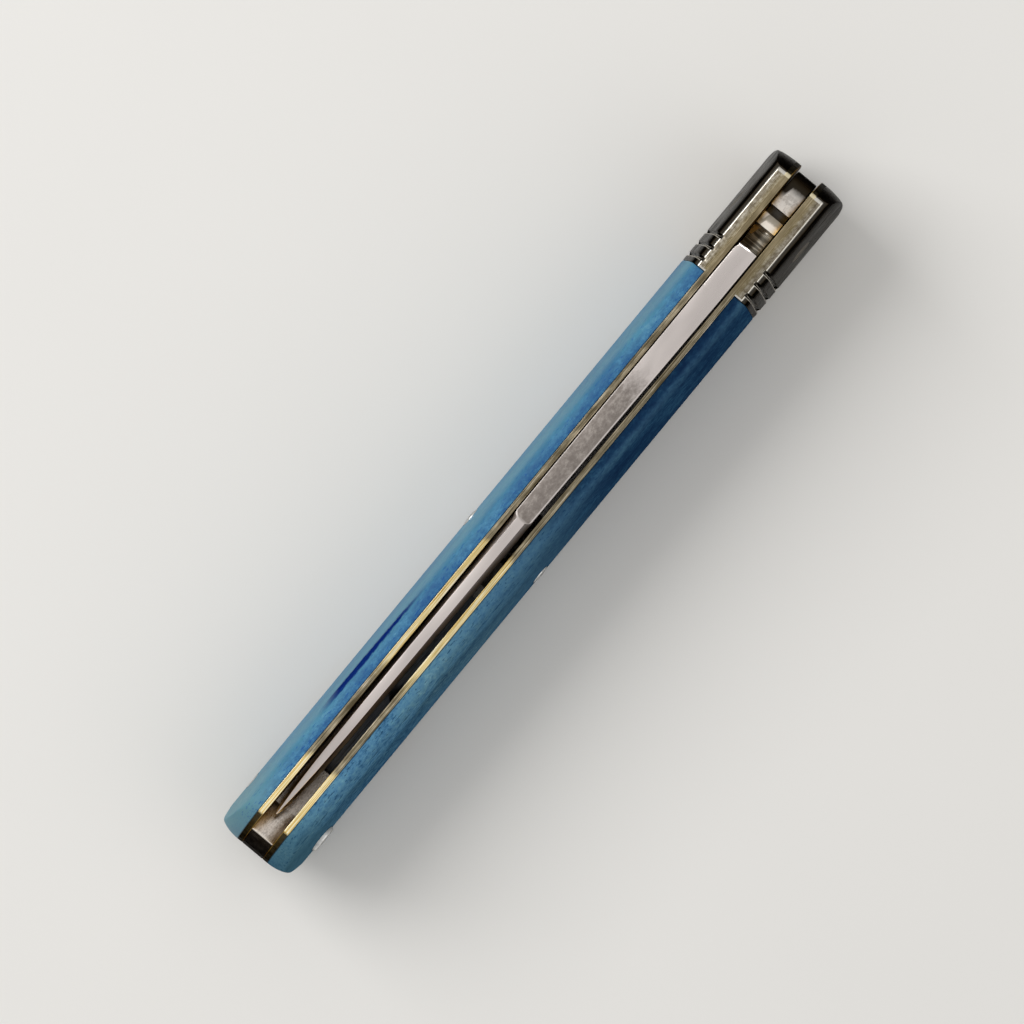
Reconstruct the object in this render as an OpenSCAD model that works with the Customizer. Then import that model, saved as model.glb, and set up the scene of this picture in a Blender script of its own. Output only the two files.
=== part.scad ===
// Folding lockback pocket knife, closed and standing on its back.
// +X runs from the butt to the bolsters and +Z from the back to the blade slot.
// Y = 0 is the middle of the slot, and the left side of the knife is +Y.

/* [Handle] */
// Length of the closed knife
handle_l = 106.4; // [102:0.2:112]
// Height from the back to the mouth of the blade slot
handle_h = 20; // [19.5:0.1:21.5]
// Width of the blade slot between the liners
slot_w = 3.2; // [3.1:0.02:3.6]
// Thickness of one brass liner
liner_t = 0.72; // [0.5:0.02:1.1]
// Thickness of a scale or bolster over its liner
cover_t = 3.3; // [3:0.05:3.8]
// Length of the slope at the bolster end, beside the slot
front_slope_l = 2.34; // [1.8:0.02:3]
// Corner radius at the bolster end, on the back
front_back_r = 7; // [4:0.25:9]
// Length of the slope at the butt, beside the slot
butt_slope_l = 4.8; // [3:0.1:7]
// Corner radius at the butt, on the back
butt_back_r = 8; // [5:0.25:9]
// Height of both slopes
end_slope_h = 10; // [7:0.5:11]
// How full the two slopes are: 1 is straight and 2 a quarter ellipse
end_slope_full = 1.35; // [1.1:0.05:2]
// Height over the back at which the handle is widest
widest_h = 3.6; // [3:0.1:5]
// Distance from the liner to the shoulder, where the crown turns down into the flank
shoulder_w = 1.98; // [1.6:0.02:2.4]
// How softly it turns, as a width
shoulder_soft = 0.2; // [0.1:0.02:0.4]
// Share of the whole fall that belongs to the crown
crown_share = 0.09; // [0.04:0.01:0.16]
// How square the section is along the back: 2 is an ellipse
back_square = 2.2; // [2:0.1:3]

/* [Scales] */
// Rounding of the butt in plan
butt_round = 1.5; // [0.8:0.1:2.5]
// Gap between a scale and its bolster
joint_gap = 0.05; // [0.02:0.01:0.15]

/* [Bolsters] */
// Length of a bolster
bolster_l = 17.76; // [16:0.1:20]
// Width of the flat that a bolster shows beside its liner
bolster_flat = 1.05; // [0.6:0.05:1.4]
// Rounding of the nose in plan
nose_round = 0.8; // [0.4:0.1:2]
// Number of engraved grooves
groove_count = 3; // [1:1:3]
// Distance from the scale to the first groove's centre
groove_first = 1.05; // [0.8:0.05:1.4]
// Distance between the grooves' centres
groove_pitch = 1.74; // [1.4:0.02:1.9]
// Width of a groove
groove_w = 0.45; // [0.3:0.05:0.7]
// Depth of a groove
groove_depth = 0.35; // [0.2:0.05:0.5]

/* [Blade] */
// Distance from the butt to the closed blade's tip
tip_from_butt = 5.55; // [5.2:0.05:8]
// Height of the blade from its edge to its spine
blade_w = 14; // [13:0.1:14.2]
// Thickness of the tang and of the spine beside it
blade_t = 2.8; // [2.6:0.02:2.9]
// Thickness of the spine where the swedge begins
spine_t = 2.4; // [2:0.02:2.6]
// How far the closed blade's spine stands out of the slot
blade_proud = 2; // [1.6:0.1:2.4]
// Length of the full-section ricasso behind the ground bevels
ricasso_l = 6.75; // [5:0.25:10]
// Length over which the bevels run in from the ricasso
plunge_l = 3.5; // [2:0.25:6]
// Share of the blade's height that the main bevel takes
bevel_share = 0.64; // [0.45:0.01:0.7]
// Length of the swedge, from the tip
swedge_l = 46.8; // [30:0.2:55]
// Height of the swedge's two bevels
swedge_h = 3; // [1.5:0.1:4]
// Width of the flat left between them
swedge_flat = 1.25; // [0.8:0.05:1.6]
// Drop of the tip below the spine
tip_drop = 5.3; // [4.6:0.1:6]
// Length of the belly's curve, from the tip
belly_l = 30; // [22:0.5:38]
// Height of the honed bevel along the edge
hone_h = 0.8; // [0.4:0.05:1.2]
// Thickness of the blade above the honed bevel
hone_t = 0.36; // [0.24:0.02:0.5]
// Width of the edge itself
edge_t = 0.06; // [0.04:0.01:0.1]
// Distance from the shoulder to the nail nick's centre
nick_from_shoulder = 32; // [26:0.5:36]
// Radius of the wheel that cuts the nick
nick_r = 26; // [16:1:34]
// Depth of the nick
nick_depth = 0.5; // [0.3:0.05:0.7]
// Width of the nick
nick_w = 1.7; // [1.2:0.1:2]
// Tilt of the wheel, in degrees
nick_tilt = 24; // [12:1:32]

/* [Tang] */
// Distance from the bolster's nose to the pivot
pivot_from_nose = 8.2; // [8:0.1:9]
// Radius of the pivot pin
pivot_r = 1.6; // [1.3:0.05:1.9]
// Radius of the tang's round running surface
tang_r = 7.4; // [7.2:0.05:7.5]
// Distance from the pivot back to the blade's shoulder
shoulder_back = 4.25; // [4:0.05:4.6]
// Height of the hump behind the ledge, over the ledge
hump_h = 0.7; // [0.4:0.05:0.75]
// Length of the hump's top
hump_l = 1.66; // [1.4:0.02:1.8]
// Length of the slope from the ledge up to the hump
hump_slope = 0.3; // [0.2:0.05:0.5]
// Distance from the pivot forward to the lock notch
notch_at = 0.82; // [0.6:0.02:1]
// Width of the lock notch
notch_w = 1.14; // [1:0.02:1.4]
// Depth of the lock notch under the hump
notch_depth = 2.4; // [1.6:0.1:2.6]
// Length of the ramp from the tang's lower corner up to the kick
kick_ramp = 2; // [1.6:0.1:2.4]
// Length from that corner to the end of the kick
kick_l = 3.4; // [2.6:0.1:4]
// Depth of the kick below the edge
kick_h = 1.3; // [0.8:0.1:1.8]

/* [Lock] */
// Angle that the bar drops through into the notch
drop_deg = 1.05; // [0.8:0.05:1.1]
// Angle that the thumb lifts the bar through beyond riding height
lift_deg = 1; // [0.6:0.05:1]
// Distance from the bolster's nose to the rocker pin
rocker_from_nose = 58.4; // [56:0.2:61]
// Height of the rocker pin over the back
rocker_h = 5; // [4.6:0.1:5.2]
// Radius of the rocker pin
rocker_r = 1.3; // [1.1:0.05:1.4]
// Thickness of the bar's front arm
bar_t = 3.4; // [3:0.05:3.6]
// Thickness of the bar's rear arm
arm_t = 3.2; // [2.8:0.05:3.3]
// Wall of the bar's hub round the pin
hub_wall = 1; // [0.8:0.05:1.1]
// Width of the bar and of the leaf spring
bar_w = 2.9; // [2.6:0.02:3]
// Gap that keeps the bar clear of the tang as it rides
ride_gap = 0.08; // [0.05:0.01:0.12]
// Gap between the tooth and each wall of the notch
tooth_gap = 0.06; // [0.05:0.01:0.1]
// Radial clearance of the blade and the bar on their pins
pin_gap = 0.03; // [0.02:0.005:0.06]
// Gap between the bar's rear end and the rear block
rear_gap = 0.4; // [0.3:0.05:0.8]

/* [Spring and rear block] */
// Length of the rear block along the slot
block_l = 13.2; // [12:0.1:14]
// Depth of the block's front end under the closed blade's spine
block_front_drop = 11; // [10.8:0.1:13]
// Length of the block's floor under the blade's tip
floor_l = 6.5; // [5.5:0.1:6.6]
// Rise of that floor
floor_rise = 3.6; // [2.5:0.1:3.6]
// Thickness of the leaf spring
leaf_t = 0.7; // [0.5:0.05:0.9]
// Distance from the leaf's free end to the rocker pin
leaf_from_pin = 7.3; // [6.6:0.1:10]
// Length of the leaf's root inside the block
leaf_root = 4; // [3:0.25:5]
// Gap between the leaf's root and the bar's rear arm, lifted by the thumb
leaf_root_gap = 0.4; // [0.3:0.05:0.6]
// Bow of the leaf toward the blade
leaf_bow = 0.5; // [0.2:0.05:0.8]
// Gap between the leaf's free end and the lifted bar
leaf_gap = 0.07; // [0.05:0.01:0.12]

/* [Pins and thumb notch] */
// Distance from the butt to the rear pin
rear_pin_at = 6.3; // [6:0.1:7.6]
// Height of the rear pin over the back
rear_pin_h = 5; // [4.6:0.1:6]
// Radius of the rear pin
rear_pin_r = 1.1; // [0.9:0.05:1.3]
// Radius of the rear pin's proud head
head_r = 1.85; // [1.6:0.05:2.2]
// Thickness of that head
head_t = 0.6; // [0.4:0.05:0.8]
// Dome on the pins' peened ends
pin_dome = 0.22; // [0.1:0.02:0.3]
// Radius of a bolster rivet
rivet_r = 0.9; // [0.7:0.05:1.1]
// How far a rivet reaches into its bolster
rivet_l = 2; // [1.4:0.1:2.3]
// Gap between the front rivet and the washer
rivet_gap = 0.4; // [0.3:0.05:0.8]
// Angle of the front rivet over the pivot, in degrees
rivet_angle = 38; // [30:1:45]
// Distance from the scale to the rear rivet
rivet_rear_at = 2.7; // [2:0.1:3.4]
// Thickness of the washers beside the tang
washer_t = 0.12; // [0.08:0.01:0.14]
// Radius of the washers
washer_r = 4.6; // [3.6:0.1:5]
// Radius of the thumb notch in the back
thumb_r = 12; // [10:0.5:16]
// Depth of the thumb notch
thumb_depth = 2.2; // [1.6:0.1:2.4]
// Distance from the butt to the middle of the thumb notch
thumb_at = 21; // [20:0.2:23]

/* [Hidden] */
$fn = 64;
big = 200;

nose_x = handle_l / 2;
butt_x = -handle_l / 2;
half_h = handle_h / 2;
liner_in = slot_w / 2;
liner_out = liner_in + liner_t;
cover_out = liner_out + cover_t;
joint_x = nose_x - bolster_l;

pivot_x = nose_x - pivot_from_nose;
pivot_z = (handle_h + blade_proud) / 2;
spine_s = handle_h + blade_proud - pivot_z;
shoulder_x = pivot_x - shoulder_back;

rocker_x = nose_x - rocker_from_nose;
block_x = butt_x + block_l;

// Rings in section: the share of the cover's thickness at which each ring lies
section_share = 0.985;
section_shares = [0, 0.2, 0.36, 0.46, 0.52, 0.57, 0.62, 0.67, 0.72, 0.78, 0.86, 0.93, section_share];
end_steps = 16;
function quarter(t, n) = 1 - pow(1 - t * t, 1 / n);
// How far the section has fallen from the slot's mouth, and risen from the back, at share t
function turned(t) = ln(1 + exp((t * cover_t - shoulder_w) / shoulder_soft));
function slot_fall(t) = (handle_h - widest_h)
    * (crown_share * t * t + (1 - crown_share) * turned(t) / turned(1));
function back_rise(t) = widest_h * quarter(t, back_square);
// The share at which the flank reaches a height, by halving
function share_at(z, low = 0, high = 1, tries = 30) = let (mid = (low + high) / 2)
    tries == 0 ? mid
    : handle_h - slot_fall(mid) > z ? share_at(z, mid, high, tries - 1)
    : share_at(z, low, mid, tries - 1);
function flank_y(z) = liner_out + min(share_at(z), section_share) * cover_t;

// How far the side outline lies in from an end at a height: its round back corner and its slope
function corner_in(z, r) = r - sqrt(r * r - pow(max(0, r - z), 2));
function slope_in(z, l) = let (u = max(0, 1 - (handle_h - z) / end_slope_h))
    l * (1 - pow(1 - pow(u, end_slope_full), 1 / end_slope_full));
// Levels up the end of a ring, drawn closer at both ends of a high one
function level(k, low, high) = let (u = k / end_steps, w = (high - low) / handle_h)
    low + (high - low) * (w * (1 - cos(180 * u)) / 2 + (1 - w) * u);
// The side outline between two heights, counted anticlockwise in x and z
function outline(nose_in, butt_in, low, high) = concat(
    [for (k = [0 : end_steps]) let (z = level(k, low, high))
        [nose_x - nose_in - corner_in(z, front_back_r) - slope_in(z, front_slope_l), z]],
    [for (k = [end_steps : -1 : 0]) let (z = level(k, low, high))
        [butt_x + butt_in + corner_in(z, butt_back_r) + slope_in(z, butt_slope_l), z]]);
plain_outline = outline(0, 0, 0, handle_h);

// A solid through rings of points that all have the same count
module loft(rings) {
    n = len(rings[0]);
    last = len(rings) - 1;
    polyhedron(
        points = [for (ring = rings) for (p = ring) p],
        faces = concat(
            [[for (i = [n - 1 : -1 : 0]) i]],
            [for (k = [0 : last - 1]) for (i = [0 : n - 1])
                [k * n + i, (k + 1) * n + (i + 1) % n, (k + 1) * n + i]],
            [for (k = [0 : last - 1]) for (i = [0 : n - 1])
                [k * n + i, k * n + (i + 1) % n, (k + 1) * n + (i + 1) % n]],
            [[for (i = [0 : n - 1]) last * n + i]]));
}

module scale_form() {
    loft([for (t = section_shares)
        [for (p = outline(0, butt_round * quarter(t, 2), back_rise(t), handle_h - slot_fall(t)))
            [p[0], liner_out + t * cover_t, p[1]]]]);
}

// Least share between two of a bolster's rings
ring_apart = 0.02;
// Power by which a cut deepens over the bolster's flat, so that it dies out at the liner
cut_power = 3;
// The bolster's form: flat beside the liner, and thinned on its outside by cut
module bolster_form(cut = 0) {
    flat = bolster_flat / cover_t;
    loft([for (t = concat([0, flat], [for (u = section_shares) if (u > flat + ring_apart) u]))
        let (d = cut * min(1, pow(t / flat, cut_power)), top = handle_h - (t > flat ? slot_fall(t) : 0))
        [for (p = outline(nose_round * quarter(t, 2), 0, back_rise(t) + d, top - d))
            [p[0], liner_out + t * (cover_t - cut), p[1]]]]);
}

module mirror_if(other) {
    if (other) mirror([0, 1, 0]) children();
    else children();
}

// A profile drawn in x and z, given its thickness from y0 to y1
module side_plate(points, y0, y1) {
    translate([0, y1, 0]) rotate([90, 0, 0]) linear_extrude(y1 - y0) polygon(points);
}

// A cylinder along y from y0 to y1
module bar_y(x, z, r, y0, y1) {
    translate([x, y1, z]) rotate([90, 0, 0]) cylinder(r = r, h = y1 - y0);
}

module x_slab(x0, x1) {
    translate([x0, -big / 2, -big / 2]) cube([x1 - x0, big, big]);
}

module thumb_cut() {
    bar_y(butt_x + thumb_at, thumb_depth - thumb_r, thumb_r, -big / 4, big / 4);
}

module through_pin_bores() {
    bar_y(rocker_x, rocker_h, rocker_r, -big / 4, big / 4);
    bar_y(butt_x + rear_pin_at, rear_pin_h, rear_pin_r, -big / 4, big / 4);
}

module pivot_bore() {
    bar_y(pivot_x, pivot_z, pivot_r, -big / 4, big / 4);
}

// Bolster rivets lie in front of and behind the washers
rivet_reach = washer_r + rivet_gap + rivet_r;
rivet_front = [pivot_x + rivet_reach * cos(rivet_angle), pivot_z + rivet_reach * sin(rivet_angle)];
rivet_rear = [joint_x + rivet_rear_at, rocker_h];
module rivet(at) {
    bar_y(at[0], at[1], rivet_r, liner_in, liner_out + rivet_l);
}

module liner() {
    color("#C9A955") difference() {
        side_plate(plain_outline, liner_in, liner_out);
        thumb_cut();
        through_pin_bores();
        pivot_bore();
        rivet(rivet_front);
        rivet(rivet_rear);
    }
}

module scale_cover() {
    difference() {
        intersection() {
            scale_form();
            x_slab(butt_x - 1, joint_x - joint_gap);
        }
        thumb_cut();
        through_pin_bores();
    }
}

module bolster() {
    groove_end = joint_x + groove_first + groove_count * groove_pitch;
    color("#8E8880") difference() {
        union() {
            difference() {
                intersection() {
                    bolster_form();
                    x_slab(joint_x, nose_x + 1);
                }
                for (i = [0 : groove_count - 1])
                    translate([joint_x + groove_first + i * groove_pitch, 0, 0])
                        x_slab(-groove_w / 2, groove_w / 2);
            }
            intersection() {
                bolster_form(groove_depth);
                x_slab(joint_x, groove_end);
            }
        }
        pivot_bore();
        rivet(rivet_front);
        rivet(rivet_rear);
    }
}

module left_liner() { liner(); }
module right_liner() { mirror_if(true) liner(); }
module left_bolster() { bolster(); }
module right_bolster() { mirror_if(true) bolster(); }
module left_scale() { color("#4A90C4") scale_cover(); }
// The rear pin's head has its seat cut into the right scale's flank
head_seat = flank_y(rear_pin_h + head_r);
module right_scale() {
    color("#3C6E8C") difference() {
        mirror_if(true) scale_cover();
        bar_y(butt_x + rear_pin_at, rear_pin_h, head_r, -big / 4, -head_seat);
    }
}
module left_bolster_rivet_front() { color("#8E8880") rivet(rivet_front); }
module left_bolster_rivet_rear() { color("#8E8880") rivet(rivet_rear); }
module right_bolster_rivet_front() { color("#8E8880") mirror_if(true) rivet(rivet_front); }
module right_bolster_rivet_rear() { color("#8E8880") mirror_if(true) rivet(rivet_rear); }

module washer() {
    color("#B08D57") difference() {
        bar_y(pivot_x, pivot_z, washer_r, liner_in - washer_t, liner_in);
        pivot_bore();
    }
}
module left_washer() { washer(); }
module right_washer() { mirror_if(true) washer(); }

// The pivot pin is ground flush with the bolsters' flanks
module pivot_pin() {
    half_core = liner_out + bolster_flat;
    color("#8E8880") intersection() {
        bar_y(pivot_x, pivot_z, pivot_r, -cover_out, cover_out);
        union() {
            bar_y(pivot_x, pivot_z, 2 * pivot_r, -half_core, half_core);
            bolster_form();
            mirror_if(true) bolster_form();
        }
    }
}

// A low dome on the end of a pin, as a slice of a ball
module dome(x, z, r, y, h) {
    ball_r = (r * r + h * h) / (2 * h);
    translate([x, y, z]) rotate([-90, 0, 0]) intersection() {
        translate([0, 0, h - ball_r]) sphere(r = ball_r);
        cylinder(r = r, h = h);
    }
}

// The rocker pin's domed ends stand a little out of the scales' flanks
module rocker_pin() {
    pin_end = flank_y(rocker_h);
    color("#B9BBBD") {
        bar_y(rocker_x, rocker_h, rocker_r, -pin_end, pin_end);
        dome(rocker_x, rocker_h, rocker_r, pin_end, pin_dome);
        mirror_if(true) dome(rocker_x, rocker_h, rocker_r, pin_end, pin_dome);
    }
}

// The rear pin is peened on the left and has its proud head on the right
module rear_pin() {
    x = butt_x + rear_pin_at;
    rim = head_t / 2;
    pin_end = flank_y(rear_pin_h);
    color("#B9BBBD") {
        bar_y(x, rear_pin_h, rear_pin_r, -head_seat - rim, pin_end);
        dome(x, rear_pin_h, rear_pin_r, pin_end, pin_dome);
        translate([x, -head_seat, rear_pin_h]) rotate([90, 0, 0]) rotate_extrude()
            polygon([[0, 0], [head_r, 0], [head_r, head_t - rim], [head_r - rim / 3, head_t - rim / 3],
                [head_r - rim, head_t], [0, head_t]]);
    }
}

// The block between the liners at the butt, under a floor that climbs to a ramp
module rear_block() {
    floor_end = block_x - floor_l;
    block_front_h = spine_z - block_front_drop;
    // The ramp meets the butt's slope half way along it
    ramp_end = butt_x + butt_slope_l / 2;
    ramp_h = handle_h - end_slope_h * (1 - pow(1 - pow(0.5, end_slope_full), 1 / end_slope_full));
    past = 1;
    color("#A9ABAD") difference() {
        intersection() {
            side_plate(plain_outline, -liner_in, liner_in);
            side_plate([[block_x, -past], [block_x, block_front_h],
                [floor_end, block_front_h + floor_rise], [ramp_end, ramp_h],
                [butt_x - past, ramp_h + past], [butt_x - past, -past]], -liner_in, liner_in);
        }
        leaf_root_plate(liner_in);
        through_pin_bores();
    }
}

// The leaf's root lies in a groove of the block
module leaf_root_plate(half_w) {
    side_plate([[block_x - leaf_root, leaf_root_h], [block_x, leaf_root_h],
        [block_x, leaf_root_h + leaf_t], [block_x - leaf_root, leaf_root_h + leaf_t]],
        -half_w, half_w);
}

// Levels of the leaf's underside, clear of the bar's rear arm at its full lift
leaf_steps = 10;
function lifted_arm(x) = arm_t + (rocker_x - x) * sin(lift_deg);
leaf_l = rocker_x - leaf_from_pin - block_x;
leaf_root_h = lifted_arm(block_x) + leaf_root_gap;
leaf_end_h = lifted_arm(block_x + leaf_l) + leaf_gap;
function leaf_under(u) = leaf_root_h + (leaf_end_h - leaf_root_h) * u + leaf_bow * sin(180 * u);
module lock_spring() {
    under = [for (i = [0 : leaf_steps]) let (u = i / leaf_steps)
        [block_x + leaf_l * u, leaf_under(u)]];
    over = [for (i = [leaf_steps : -1 : 0]) [under[i][0], under[i][1] + leaf_t]];
    color("#9FA3A6") {
        side_plate(concat(under, over), -bar_w / 2, bar_w / 2);
        leaf_root_plate(bar_w / 2);
    }
}

// Levels of the lock, measured up from the back with the bar at riding height
drop_slope = sin(drop_deg);
function drop_at(x) = (x - rocker_x) * drop_slope;
function ride_level(dx) = pivot_z - sqrt(pow(tang_r + ride_gap, 2) - dx * dx);
notch_front = pivot_x - notch_at;
notch_back = notch_front - notch_w;
nose_back = pivot_x + hump_l - notch_at + hump_slope + tooth_gap;
nose_end = pivot_x + shoulder_back - ride_gap - rocker_h * drop_slope;
nose_level = ride_level(nose_back - pivot_x);
// The ledge, hump and flat that the bar meets when it has dropped
ledge_s = pivot_z - nose_level - drop_at(nose_end) - ride_gap;
hump_s = ledge_s + hump_h;
notch_s = hump_s - notch_depth;
hump_level = pivot_z - hump_s - drop_at(nose_back) - ride_gap;
tooth_back = notch_back + tooth_gap;
tooth_front = notch_front - tooth_gap;
tang_flat = pivot_z - ride_level(tooth_back - pivot_x) - drop_at(tooth_front) - ride_gap;

module lock_bar() {
    hub_r = rocker_r + pin_gap + hub_wall;
    cheek_l = 2.4 * hub_r;
    cheek_z = rocker_h + 0.8 * hub_r;
    arm_end = block_x + rear_gap;
    arm_rise = (rocker_x - arm_end) * drop_slope;
    neck_r = tang_r + 1.5 * ride_gap;
    color("#8F9496") difference() {
        union() {
            side_plate([[nose_end, 0], [nose_end, nose_level], [nose_back, nose_level],
                [nose_back, hump_level], [tooth_front, hump_level],
                [tooth_front, ride_level(tooth_front - pivot_x)],
                [tooth_back, ride_level(tooth_back - pivot_x)], [tooth_back, bar_t],
                [rocker_x + cheek_l, bar_t], [rocker_x + hub_r / 2, cheek_z],
                [rocker_x - hub_r / 2, cheek_z], [rocker_x - cheek_l, arm_t],
                [arm_end, arm_t], [arm_end, arm_rise], [rocker_x, 0]],
                -bar_w / 2, bar_w / 2);
            bar_y(rocker_x, rocker_h, hub_r, -bar_w / 2, bar_w / 2);
        }
        // Relief behind the tooth for the tang's tail when the bar has dropped
        intersection() {
            bar_y(pivot_x, pivot_z - drop_at(notch_front), neck_r, -bar_w, bar_w);
            x_slab(rocker_x, tooth_back);
        }
        bar_y(rocker_x, rocker_h, rocker_r + pin_gap, -bar_w, bar_w);
    }
}

// The blade's section along its length
tip_x = butt_x + tip_from_butt;
ricasso_x = shoulder_x - ricasso_l;
swedge_x = tip_x + swedge_l;
edge_z = handle_h + blade_proud - blade_w;
spine_z = handle_h + blade_proud;
tip_z = spine_z - tip_drop;
taper = (blade_t - spine_t) / (ricasso_x - swedge_x);
// Powers that the spine falls by, the belly rises by and the point thins by
spine_fall = 1.2;
belly_rise = 2.3;
point_thin = 0.6;
// Height of the blade at which it begins to thin toward the point
point_h = 5;
// Lengths over which the swedge's bevels and its flat run in, as a wheel leaves them
swedge_run = 1.6;
flat_run = 0.7;
function run_in(u) = sqrt(1 - pow(1 - min(1, max(0, u)), 2));
// Length over which the flat narrows to the point, and how far past the point it would end
flat_fade = 6;
flat_past = 0.3;
// Narrow strip that is left of a face before its bevel begins
face_strip = 0.02;
// Most of the spine that the flat takes, and most of the blade's height that the swedge takes
flat_most = 0.96;
swedge_most = 0.3;
// Most of the blade's height and of its thickness that the honed bevel takes
hone_h_most = 0.2;
hone_t_most = 0.9;
function smooth(u) = let (c = min(1, max(0, u))) c * c * (3 - 2 * c);
function tapered(x) = taper * max(0, ricasso_x - x);
function spine_at(x) = x > swedge_x ? spine_z
    : spine_z - tip_drop * pow((swedge_x - x) / swedge_l, spine_fall);
function edge_at(x) = x > tip_x + belly_l ? edge_z
    : edge_z + (tip_z - edge_z) * pow((tip_x + belly_l - x) / belly_l, belly_rise);
function thick_at(x) = (blade_t - tapered(x))
    * min(1, pow((spine_at(x) - edge_at(x)) / point_h, point_thin));
// The left face stays parallel to its liner and the right face takes the taper
function middle_at(x) = tapered(x) / 2;
function flat_at(x) = let (t = thick_at(x), cut = run_in((swedge_x - x) / flat_run),
        left = swedge_flat * (1 - exp((tip_x - x - flat_past) / flat_fade)))
    t * (1 - cut) + min(t * flat_most, left) * cut;
function blade_ring(x) =
    let (zs = spine_at(x), ze = edge_at(x), h = zs - ze, m = middle_at(x), t = thick_at(x),
         f = flat_at(x), g = smooth((ricasso_x - x) / plunge_l),
         swedge_low = zs - min(swedge_most * h, face_strip + swedge_h * run_in((swedge_x - x) / swedge_run)),
         hone_low = min(hone_h, h * hone_h_most), bt = t + (min(hone_t, t * hone_t_most) - t) * g,
         et = bt + (edge_t - bt) * g, bevel_top = ze + h * bevel_share)
    [[x, m - f / 2, zs], [x, m - t / 2, swedge_low], [x, m - t / 2, bevel_top],
     [x, m - bt / 2, ze + hone_low], [x, m - et / 2, ze],
     [x, m + et / 2, ze], [x, m + bt / 2, ze + hone_low],
     [x, m + t / 2, bevel_top], [x, m + t / 2, swedge_low], [x, m + f / 2, zs]];
// A rounder first ring, hidden inside the ricasso
root_in = 0.3;
root_t = 0.9;
root_round = 0.3;
root_h = 0.96;
blade_root = [for (p = blade_ring(ricasso_x)) let (v = 2 * (p[2] - edge_z) / blade_w - 1)
    [ricasso_x + root_in, p[1] * (root_t - root_round * v * v), edge_z + blade_w * (1 + root_h * v) / 2]];
plunge_x = ricasso_x - plunge_l;
run_x = swedge_x - swedge_run;
belly_x = tip_x + belly_l;
blade_stations = concat(
    [for (i = [0 : 7]) ricasso_x - plunge_l * i / 7],
    [for (i = [1 : 2]) plunge_x - (plunge_x - swedge_x) * i / 3],
    [for (i = [0 : 8]) swedge_x - swedge_run * pow(i / 8, 2)],
    [for (i = [1 : 3]) run_x - (run_x - belly_x) * i / 4],
    [for (i = [0 : 17]) tip_x + belly_l * (1 - sin(90 * i / 18))]);

module nail_nick() {
    translate([shoulder_x - nick_from_shoulder, blade_t / 2 + nick_r - nick_depth, handle_h])
        rotate([nick_tilt, 0, 0]) cylinder(r = nick_r, h = nick_w, center = true);
}

module at_pivot() {
    translate([pivot_x, 0, pivot_z]) children();
}

module blade() {
    low = edge_z - pivot_z;
    heel_step = 0.3;
    heel_x = -sqrt(tang_r * tang_r - tang_flat * tang_flat) - heel_step;
    kick_fall = 1;
    hump_x = notch_at - hump_l;
    color("#B9B4B2") difference() {
        union() {
            loft(concat([blade_root], [for (x = blade_stations) blade_ring(x)]));
            at_pivot() {
                bar_y(0, 0, tang_r, -blade_t / 2, blade_t / 2);
                side_plate([[ricasso_x - pivot_x, spine_s], [-shoulder_back, spine_s],
                    [-shoulder_back, ledge_s], [0, ledge_s], [0, -tang_r],
                    [heel_x, -tang_r], [heel_x - kick_ramp, low - kick_h],
                    [heel_x - kick_l, low - kick_h], [heel_x - kick_l - kick_fall, low],
                    [ricasso_x - pivot_x, low]], -blade_t / 2, blade_t / 2);
            }
        }
        at_pivot() {
            // Ledge, hump and lock notch cut down into the round tang
            side_plate([[-shoulder_back, big / 4], [-shoulder_back, ledge_s],
                [hump_x - hump_slope, ledge_s], [hump_x, hump_s], [notch_at, hump_s],
                [notch_at, notch_s], [notch_at + notch_w, notch_s],
                [notch_at + notch_w, big / 4]], -blade_t, blade_t);
            // Flat that the bar lies against when the knife is closed
            translate([-big / 8, -blade_t, -tang_flat - big / 4]) cube([big / 4, 2 * blade_t, big / 4]);
            bar_y(0, 0, pivot_r + pin_gap, -blade_t, blade_t);
        }
        nail_nick();
    }
}

blade();
lock_bar();
lock_spring();
rear_block();
left_liner();
right_liner();
left_bolster();
right_bolster();
left_scale();
right_scale();
pivot_pin();
rocker_pin();
rear_pin();
left_washer();
right_washer();
left_bolster_rivet_front();
left_bolster_rivet_rear();
right_bolster_rivet_front();
right_bolster_rivet_rear();
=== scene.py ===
"""Folding lockback pocket knife, closed and standing on its back, dressed for a studio picture.

It is laid out as an add-on and run as a script. Lengths in the code are millimetres of the
knife unless a name says otherwise, and MM turns them to Blender's metres.
"""

import functools
import math

import bmesh
import bpy
from bpy.props import FloatProperty, FloatVectorProperty, PointerProperty
from bpy.types import Operator, Panel, PropertyGroup
from mathutils import Matrix, Vector


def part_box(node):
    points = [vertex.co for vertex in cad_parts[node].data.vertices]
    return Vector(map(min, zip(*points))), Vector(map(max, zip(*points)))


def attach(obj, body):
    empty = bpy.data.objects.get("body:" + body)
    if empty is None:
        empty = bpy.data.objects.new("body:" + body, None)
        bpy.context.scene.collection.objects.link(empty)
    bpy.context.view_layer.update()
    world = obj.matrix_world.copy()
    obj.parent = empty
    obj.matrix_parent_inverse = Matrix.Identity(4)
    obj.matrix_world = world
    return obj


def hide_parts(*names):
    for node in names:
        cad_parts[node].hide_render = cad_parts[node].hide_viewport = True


bl_info = {
    "name": "Lockback pocket knife",
    "version": (1, 0, 0),
    "blender": (4, 5, 0),
    "location": "View3D > Sidebar > Knife",
    "description": "Builds the scales, bolsters, blade, lock and finishes of a folding knife",
    "category": "Object",
}

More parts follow.
